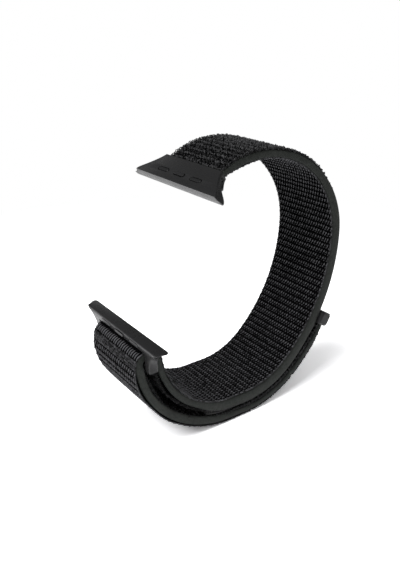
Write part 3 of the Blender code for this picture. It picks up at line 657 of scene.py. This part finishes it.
pile = {
    "rowPitch": 1.93 * mm,
    "pitch": 0.728 * mm,
    "halfAcross": 10.55 * mm,
    "endInset": 0.5 * mm,
    "segments": 4,
    "sides": 4,
    "footTurn": 0.15,
    "turnDeg": 35.0,
    # how much turn and lean (radians), size and tone differ from loop to loop
    "turnSpread": 0.5,
    "leanSpread": 0.35,
    "sizeSpread": 0.18,
    "toneSpread": 0.20,
    # between the runs beside the fold the pile stands higher and closes the gap
    "gapLift": 0.40 * mm,
    "gapFrom": 4.0 * mm,
    "gapTo": 15.0 * mm,
    "gapEase": (2.0 * mm, 5.0 * mm),
    # the loops are painted darker beside the lug and in the gap between the runs: painted shade
    "lugPaintedShade": 0.26,
    "pressedTo": 3.0 * mm,
    "pressedEase": 17.0 * mm,
    "gapPaintedShade": 0.45,
    "shadeFrom": 128.0 * mm,
    "shadeTo": 198.0 * mm,
    "shadeEase": (6.0 * mm, 8.0 * mm),
    "seed": 23,
    # phase in the row, loops at a place, half width and rise of the ring, radius of the yarn,
    # jitter, depth of its foot below the pile's face, tone
    "high": {"phase": 0.3, "loops": 2, "reach": 0.27 * mm, "rise": 0.55 * mm, "yarn": 0.14 * mm,
             "jitter": 0.13 * mm, "depth": 0.66 * mm, "tone": 0.72},
    "low": {"phase": 0.8, "loops": 2, "reach": 0.30 * mm, "rise": 0.50 * mm, "yarn": 0.13 * mm,
            "jitter": 0.20 * mm, "depth": 0.74 * mm, "tone": 0.34},
    # loops that lean over each edge, where the binding stays below the pile by the least step
    "fringe": {"pitch": 0.30 * mm, "across": 10.55 * mm, "leanDeg": (30.0, 70.0),
               "turnShare": 0.3, "leanShare": 0.5, "least": 0.40 * mm, "reach": 0.27 * mm,
               "rise": 0.50 * mm, "yarn": 0.12 * mm, "jitter": 0.10 * mm, "depth": 0.56 * mm,
               "tone": 0.45},
}


def loopPlaces(title, stretch, ends):
    # rows crossed with columns, or for the fringe one line along each edge
    kind = pile[title]
    if title == "fringe":
        rows = np.arange(*ends, kind["pitch"])
        rows = rows[pileFace(rows) - bindingEdge(rows, "pileEdge") > kind["least"]]
        return np.concatenate([rows, rows]), np.repeat([-kind["across"], kind["across"]], len(rows))
    first = math.ceil(stretch["from"] / pile["rowPitch"] - kind["phase"])
    last = math.floor(stretch["to"] / pile["rowPitch"] - kind["phase"])
    rows = (np.arange(first, last + 1) + kind["phase"]) * pile["rowPitch"]
    columns = np.arange(-pile["halfAcross"], pile["halfAcross"] + hair, pile["pitch"])
    run, across = np.meshgrid(rows, columns, indexing="ij")
    return np.repeat(run.ravel(), kind["loops"]), np.repeat(across.ravel(), kind["loops"])


def loops(title, run, across, ends, rng):
    # each loop is a half ring of yarn: (reach cos a, rise sin a), leaning and turned at random
    kind, count = pile[title], len(run)
    run = np.clip(run + kind["jitter"] * rng.standard_normal(count), *ends)
    across = across + kind["jitter"] * rng.standard_normal(count)
    across = np.clip(across, -pile["halfAcross"], pile["halfAcross"])
    turn = math.radians(pile["turnDeg"]) + pile["turnSpread"] * rng.standard_normal(count)
    lean = pile["leanSpread"] * rng.standard_normal(count)
    if title == "fringe":
        turn = kind["turnShare"] * turn
        outwards = np.resize(np.radians(kind["leanDeg"]), count)
        lean = np.sign(across) * outwards + kind["leanShare"] * lean
    turn, lean = turn[:, None, None], lean[:, None, None]
    size = np.clip(rng.standard_normal(count), -2.0, 2.0)
    size = (1.0 + pile["sizeSpread"] * size)[:, None, None]
    rings, sides = pile["segments"] + 1, pile["sides"]
    a = np.linspace(-pile["footTurn"], math.pi + pile["footTurn"], rings)[None, :, None]
    side = sideAngles(sides)
    yarn = kind["yarn"]
    reach = (kind["reach"] * size + yarn * np.cos(side)) * np.cos(a)
    height = (kind["rise"] * size + yarn * np.cos(side)) * np.sin(a)
    sideways = yarn * np.sin(side) + height * np.sin(lean)
    height = height * np.cos(lean)
    placeRun = run[:, None, None] + reach * np.cos(turn) - sideways * np.sin(turn)
    placeAcross = across[:, None, None] + reach * np.sin(turn) + sideways * np.cos(turn)
    placeAcross = np.clip(placeAcross, -edging["outer"], edging["outer"])
    away = np.abs(placeRun - foldMiddle)
    lift = pile["gapLift"] * hump(away, pile["gapFrom"], pile["gapTo"], pile["gapEase"])
    points = onBand(placeRun, placeAcross, pileFace(placeRun) - kind["depth"] + height + lift)
    quads = copiesOf(tubeQuads(rings, sides), rings * sides, count)
    # painted shade: the loops' tone is lowered beside the lug and in the gap between the runs
    shade = pile["lugPaintedShade"] * (1.0 - ease((run - pile["pressedTo"]) / pile["pressedEase"]))
    gap = hump(run, pile["shadeFrom"], pile["shadeTo"], pile["shadeEase"])
    shade = shade + pile["gapPaintedShade"] * gap
    tones = kind["tone"] - shade + pile["toneSpread"] * rng.standard_normal(count)
    tones = np.repeat(np.clip(tones, 0.0, brightest), rings * sides)
    return points.reshape(-1, 3), quads, tones


def layPile(stretch):
    # looped side: high and low rows, and the fringe over both edges
    rng = np.random.default_rng(pile["seed"])
    ends = (stretch["from"] + pile["endInset"], stretch["to"] - pile["endInset"])
    for title, layer in (("high", "pile_layer"), ("low", None), ("fringe", None)):
        run, across = loopPlaces(title, stretch, ends)
        points, quads, tones = loops(title, run, across, ends, rng)
        name = stretch["name"] + "Pile" + title.capitalize()
        piece = quadMesh(name, points, quads, "pileYarn", tones)
        placeOnBodies(piece, stretch, layer)


def layBinding(stretch):
    # D-shaped edge: a superellipse in (across, out) between the tape's two edges, with fine ribs:
    # half widths grow by depth cos(2 pi run / pitch)
    angle = np.arange(edging["sides"]) * 2.0 * math.pi / edging["sides"]
    wide = np.sign(np.cos(angle)) * np.abs(np.cos(angle)) ** (2.0 / edging["power"])
    tall = np.sign(np.sin(angle)) * np.abs(np.sin(angle)) ** (2.0 / edging["power"])
    stations = np.linspace(stretch["from"], stretch["to"],
                           int((stretch["to"] - stretch["from"]) / edging["step"]))
    rib = edging["ribDepth"] * np.cos(2.0 * math.pi * stations / edging["ribPitch"])[:, None]
    run = stations[:, None] + 0.0 * angle[None, :]
    middle = (edging["outer"] + edging["inner"]) / 2.0
    half = (edging["outer"] - edging["inner"]) / 2.0
    skinEdge, pileEdge = bindingEdge(run, "skinEdge"), bindingEdge(run, "pileEdge")
    tallHalf = (pileEdge - skinEdge) / 2.0
    tallMiddle = (pileEdge + skinEdge) / 2.0
    quads = tubeQuads(len(stations), edging["sides"])
    for sign, title in ((-1.0, "near"), (1.0, "far")):
        across = sign * (middle + (half + rib) * wide[None, :])
        out = tallMiddle + (tallHalf + rib) * tall[None, :]
        points = onBand(run, across, out).reshape(-1, 3)
        piece = quadMesh(stretch["name"] + title.capitalize() + "Binding", points, quads,
                         "bindingYarn", np.full(len(points), edging["tone"]))
        placeOnBodies(piece, stretch, title + "_binding")


groundCloth = {
    "side": 10.70 * mm,
    "inside": 9.85 * mm,
    "pileSide": 10.30 * mm,
    "fromSkin": (0.36 * mm, 0.50 * mm, 0.60 * mm),
    "fromPile": (-0.90 * mm, -0.70 * mm, -0.45 * mm),
    "step": 0.8 * mm,
    "tone": 0.4,
}


def layGroundCloth(stretch):
    # ground cloth between the two faces, seen only in the grooves and painted near black as their
    # shade:
    # one outline, the same at both edges, with a notch at each for the binding
    side, inside, pileEdge = (groundCloth[key] for key in ("side", "inside", "pileSide"))
    skin, tips = groundCloth["fromSkin"], groundCloth["fromPile"]
    right = ((side, -1.0, skin[0]), (side, -1.0, skin[1]), (inside, -1.0, skin[2]),
             (inside, 1.0, tips[0]), (pileEdge, 1.0, tips[1]), (pileEdge, 1.0, tips[2]))
    left = tuple((-across, face, out) for across, face, out in reversed(right))
    outline = left[-1:] + right + left[:-1]
    points, quads = sweepStrip(stretch["from"], stretch["to"], outline, groundCloth["step"],
                               pileFace)
    piece = quadMesh(stretch["name"] + "GroundCloth", points, quads, "groovesShadeCloth",
                     np.full(len(points), groundCloth["tone"]))
    placeOnBodies(piece, stretch, None)


for stretch in stretches:
    layGroundCloth(stretch)
    layWeave(stretch)
    layPile(stretch)
    layBinding(stretch)
    print("band stretch", stretch["name"])

# Hook tape on the inside of the tail

hookTape = {
    "halfAcross": 10.2 * mm,
    "start": 199.0 * mm,
    "from": 0.12 * mm,
    "to": 0.50 * mm,
    "endInset": 1.8 * mm,
    "pitch": 0.72 * mm,
    "endMargins": (0.5 * mm, 0.4 * mm),
    "sideMargins": (0.4 * mm, 0.3 * mm),
    # a hook's reach from the band, its sunk foot, the radius of its bend, the room kept for it,
    # the bend's angle at each ring, and the radius and corners of its yarn
    "reach": 0.98 * mm,
    "sunk": 0.1 * mm,
    "bend": 0.16 * mm,
    "bendRoom": 0.30 * mm,
    "bendDeg": (0.0, 0.0, 50.0, 100.0, 150.0),
    "yarn": 0.10 * mm,
    "sides": 4,
    "tapeStep": 0.6 * mm,
    "tapeTone": 0.22,
    "hookTone": 0.85,
    "toneSpread": 0.15,
    "seed": 5,
}


def hooks(start, end):
    # a hook is a short stem that bends over: its angle grows along a small arc above the stem
    rng = np.random.default_rng(hookTape["seed"])
    side, pitch = hookTape["halfAcross"], hookTape["pitch"]
    first, last = hookTape["endMargins"]
    near, far = hookTape["sideMargins"]
    run, across = np.meshgrid(np.arange(start + first, end - last, pitch),
                              np.arange(-side + near, side - far, pitch), indexing="ij")
    run, across = run.ravel(), across.ravel()
    count = len(run)
    stem = hookTape["reach"] - hookTape["to"] - hookTape["bendRoom"]
    bend = np.radians(hookTape["bendDeg"])[None, :, None]
    radius = hookTape["bend"]
    rise = np.array([-hookTape["sunk"], stem, stem, stem, stem])[None, :, None]
    rise = rise + radius * np.sin(bend)
    lean = radius * (1.0 - np.cos(bend))
    angle = sideAngles(hookTape["sides"])
    thick = hookTape["yarn"]
    facing = np.where(rng.random(count) < 0.5, -1.0, 1.0)[:, None, None]
    placeRun = run[:, None, None] + facing * (lean + thick * np.cos(angle) * np.cos(bend))
    placeAcross = across[:, None, None] + thick * np.sin(angle) + 0.0 * bend
    out = halfAt(placeRun) + hookTape["to"] + rise - thick * np.cos(angle) * np.sin(bend)
    points = onBand(placeRun, placeAcross, out).reshape(-1, 3)
    rings, sides = len(hookTape["bendDeg"]), hookTape["sides"]
    quads = copiesOf(tubeQuads(rings, sides), rings * sides, count)
    flipped = np.repeat(facing.ravel() < 0.0, len(quads) // count)
    quads[flipped] = quads[flipped][:, ::-1]
    tones = hookTape["hookTone"] + hookTape["toneSpread"] * rng.standard_normal(count)
    return points, quads, np.repeat(tones, rings * sides)


def layHookTape(title, start, end, stretch):
    # flat tape with its hooks standing on it
    side = hookTape["halfAcross"]
    outline = ((-side, 1.0, hookTape["from"]), (side, 1.0, hookTape["from"]),
               (side, 1.0, hookTape["to"]), (-side, 1.0, hookTape["to"]))
    points, quads = sweepStrip(start, end, outline, hookTape["tapeStep"])
    base = quadMesh(title + "HookTape", points, quads, "hookYarn",
                    np.full(len(points), hookTape["tapeTone"]))
    placeOnBodies(base, stretch, "hook_patch")
    points, quads, tones = hooks(start, end)
    rows = quadMesh(title + "Hooks", points, quads, "hookYarn", tones)
    placeOnBodies(rows, stretch, None)


layHookTape("band", hookTape["start"], stretches[1]["to"], stretches[1])
layHookTape("tail", stretches[2]["from"], stretches[2]["to"], stretches[2])
layHookTape("tip", stretches[3]["from"], tailEnd - hookTape["endInset"], stretches[3])
print("hook tape laid")

# Lugs, tab and metal pieces: the solids' own shapes with rounded edges


rounding = {
    "mergeWithin": 0.002 * mm,
    "flatDeg": 0.6,
    "sharpDeg": 35.0,
    "segments": 2,
}


def roundedCopy(node, name, body, finish, width):
    # merged copy of a solid: flat faces joined, then every sharp edge rounded by a bevel
    sharp = math.radians(rounding["sharpDeg"])
    work = bmesh.new()
    work.from_mesh(nodes[node].data)
    bmesh.ops.remove_doubles(work, verts=work.verts, dist=rounding["mergeWithin"])
    bmesh.ops.dissolve_limit(work, angle_limit=math.radians(rounding["flatDeg"]),
                             verts=work.verts, edges=work.edges)
    work.verts.index_update()
    points = [tuple(corner.co) for corner in work.verts]
    polygons = [[corner.index for corner in polygon.verts] for polygon in work.faces]
    work.free()
    mesh = bpy.data.meshes.new(name)
    mesh.from_pydata(points, [], polygons)
    mesh.shade_smooth()
    mesh.set_sharp_from_angle(angle=sharp)
    mesh.materials.append(finishes[finish])
    piece = bpy.data.objects.new(name, mesh)
    scene.collection.objects.link(piece)
    bevel = piece.modifiers.new("rounding", "BEVEL")
    bevel.width = width
    bevel.segments = rounding["segments"]
    bevel.limit_method = "ANGLE"
    bevel.angle_limit = sharp
    bevel.harden_normals = True
    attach(piece, body)
    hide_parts(node)


# node, name, body, slot, finish, width of the rounding in mm
hardPieces = (
    ("upper_lug_body", "upperLug", "upper_lug", "lug_metal", "lugFinish", 0.09),
    ("lower_lug_body", "lowerLug", "lower_lug", "lug_metal", "lugFinish", 0.09),
    ("upper_latch", "upperLatch", "upper_latch", "lug_metal", "lugFinish", 0.10),
    ("lower_latch", "lowerLatch", "lower_latch", "lug_metal", "lugFinish", 0.10),
    ("upper_pad_near", "upperPadNear", "upper_lug", "pad_rubber", "padFinish", 0.12),
    ("upper_pad_far", "upperPadFar", "upper_lug", "pad_rubber", "padFinish", 0.12),
    ("lower_pad_near", "lowerPadNear", "lower_lug", "pad_rubber", "padFinish", 0.12),
    ("lower_pad_far", "lowerPadFar", "lower_lug", "pad_rubber", "padFinish", 0.12),
    ("end_tab", "endTab", "tip", "tab_plastic", "tabFinish", 0.12),
    ("band_end_sleeve", "endSleeve", "band", "loop_pile", "bindingYarn", 0.10),
)
for node, name, body, slot, finish, width in hardPieces:
    roundedCopy(node, name, body, finish, width * mm)


pin = {
    "halfLength": 12.6 * mm,
    "chamfer": 0.25 * mm,
    "sides": 32,
}


def lugPin():
    # a turned rod along Y through both walls of the lug: radius against length, chamfered ends
    low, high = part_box("upper_lug_pin")
    radius = (high.z - low.z) / 2.0
    length, cut = pin["halfLength"], pin["chamfer"]
    along = np.array([-length, -length + cut, 0.0, length - cut, length])[:, None]
    rings = np.array([radius - cut, radius, radius, radius, radius - cut])[:, None]
    angle = sideAngles(pin["sides"])[0]
    points = np.stack([(low.x + high.x) / 2.0 + rings * np.cos(angle), along + 0.0 * angle,
                       (low.z + high.z) / 2.0 + rings * np.sin(angle)], axis=-1).reshape(-1, 3)
    piece = quadMesh("upperLugPin", points, tubeQuads(len(rings), pin["sides"]), "pinFinish")
    piece.data.set_sharp_from_angle(angle=math.radians(rounding["sharpDeg"]))
    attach(piece, "upper_lug")
    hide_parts("upper_lug_pin")


lugPin()
for node in ("lower_lug_bar", "upper_latch_spring", "lower_latch_spring"):
    mesh = nodes[node].data
    mesh.materials.clear()
    mesh.materials.append(finishes["steelFinish"])
print("lugs and tab finished")

# Camera, light and floor

view = {
    "place": (-0.10006, -0.12760, 0.10837),
    "right": (0.80846, -0.58855, 0.0),
    "up": (0.23719, 0.32582, 0.91520),
    "forward": (0.53864, 0.73990, -0.40301),
    "lens": 40.18,
    "sensor": 36.0,
    "clip": (0.005, 20.0),
}


def addCamera():
    lens = bpy.data.cameras.new("photoCamera")
    lens.lens = view["lens"]
    lens.sensor_width = view["sensor"]
    lens.sensor_height = view["sensor"]
    lens.sensor_fit = "AUTO"
    lens.clip_start, lens.clip_end = view["clip"]
    camera = bpy.data.objects.new("photoCamera", lens)
    scene.collection.objects.link(camera)
    right, up, forward = (np.array(view[key]) for key in ("right", "up", "forward"))
    turn = Matrix([[right[k], up[k], -forward[k]] for k in range(3)]).to_4x4()
    camera.matrix_world = Matrix.Translation(view["place"]) @ turn
    scene.camera = camera


studio = {
    "lamps": (
        {"name": "topLight", "place": (-0.28, -0.02, 0.44), "size": 0.36, "power": 2.9},
        {"name": "leftLight", "place": (-0.30, -0.40, 0.25), "size": 0.40, "power": 0.5},
    ),
    "target": (0.0, 0.0, 0.03),
    "skyStrength": 0.42,
    "ceiling": 0.12,
    "ceilingFrom": 0.06,
    "ceilingTo": 0.34,
    "paper": 0.86,
    "paperRoughness": 0.9,
    "paperSeen": (1.8, 1.8, 1.818),
    "floorReach": 3.0,
    "floorBelow": 0.4 * mm,
    "whiteFrom": 0.07,
    "whiteTo": 0.22,
}


def addLight(lamp):
    light = bpy.data.lights.new(lamp["name"], "AREA")
    light.shape = "SQUARE"
    light.size = lamp["size"]
    light.energy = lamp["power"]
    item = bpy.data.objects.new(lamp["name"], light)
    scene.collection.objects.link(item)
    place = np.array(lamp["place"])
    back = place - np.array(studio["target"])
    back /= np.linalg.norm(back)
    side = np.cross((0.0, 0.0, 1.0), back)
    side /= np.linalg.norm(side)
    top = np.cross(back, side)
    turn = Matrix([[side[k], top[k], back[k]] for k in range(3)]).to_4x4()
    item.matrix_world = Matrix.Translation(place) @ turn


def seenRays(tree):
    # 1 for rays from the camera or off a glossy or clear surface, 0 for the rest
    ray = addNode(tree, "ShaderNodeLightPath").outputs
    seen = addMath(tree, "MAXIMUM", ray["Is Camera Ray"], ray["Is Glossy Ray"])
    return addMath(tree, "MAXIMUM", seen, ray["Is Transmission Ray"])


def addFloor():
    # the paper is seen brighter than it lights, so only the darker part of the shadow shows,
    # and away from the strap it is seen as plain white
    reach = studio["floorReach"]
    mesh = bpy.data.meshes.new("floor")
    mesh.from_pydata([(-reach, -reach, 0.0), (reach, -reach, 0.0), (reach, reach, 0.0),
                      (-reach, reach, 0.0)], [], [(0, 1, 2, 3)])
    floor = bpy.data.objects.new("floor", mesh)
    scene.collection.objects.link(floor)
    floor.location = (0.0, 0.0, -studio["floorBelow"])
    paper = studio["paper"]
    made, tree, surface = shader("floorPaper", (paper, paper, paper), studio["paperRoughness"])
    surface.inputs["Specular IOR Level"].default_value = 0.0
    lifted = addNode(tree, "ShaderNodeBsdfDiffuse", {"Color": (*studio["paperSeen"], 1.0)})
    white = addNode(tree, "ShaderNodeEmission", {"Color": (1.0, 1.0, 1.0, 1.0)})
    place = addNode(tree, "ShaderNodeTexCoord").outputs["Object"]
    away = addNode(tree, "ShaderNodeVectorMath", {0: place}, operation="LENGTH").outputs["Value"]
    away = addNode(tree, "ShaderNodeMapRange", {
        "Value": away, "From Min": studio["whiteFrom"], "From Max": studio["whiteTo"]})
    lifted = addNode(tree, "ShaderNodeMixShader", {
        0: away.outputs["Result"], 1: lifted.outputs[0], 2: white.outputs[0]})
    pick = addNode(tree, "ShaderNodeMixShader", {
        0: seenRays(tree), 1: surface.outputs[0], 2: lifted.outputs[0]})
    output = next(node for node in tree.nodes if node.type == "OUTPUT_MATERIAL")
    tree.links.new(pick.outputs[0], output.inputs["Surface"])
    mesh.materials.append(made)


def addWorld():
    # white where it is seen, softer where it lights; in reflections the ceiling above the white
    # paper is dim
    world = bpy.data.worlds.new("studio")
    scene.world = world
    world.use_nodes = True
    tree = world.node_tree
    back = next(node for node in tree.nodes if node.type == "BACKGROUND")
    back.inputs["Color"].default_value = (1.0, 1.0, 1.0, 1.0)
    direction = addNode(tree, "ShaderNodeTexCoord").outputs["Generated"]
    height = addNode(tree, "ShaderNodeSeparateXYZ", {0: direction}).outputs["Z"]
    ceiling = addNode(tree, "ShaderNodeMapRange", {
        "Value": height, "From Min": studio["ceilingFrom"], "From Max": studio["ceilingTo"],
        "To Min": 1.0, "To Max": studio["ceiling"]}).outputs["Result"]
    camera = addNode(tree, "ShaderNodeLightPath").outputs["Is Camera Ray"]
    white = addMath(tree, "MAXIMUM", ceiling, camera)
    strength = addNode(tree, "ShaderNodeMapRange", {
        "Value": seenRays(tree), "To Min": studio["skyStrength"], "To Max": white})
    tree.links.new(strength.outputs["Result"], back.inputs["Strength"])


addCamera()
for lamp in studio["lamps"]:
    addLight(lamp)
addFloor()
addWorld()
scene.view_settings.view_transform = "Standard"
print("stage set")
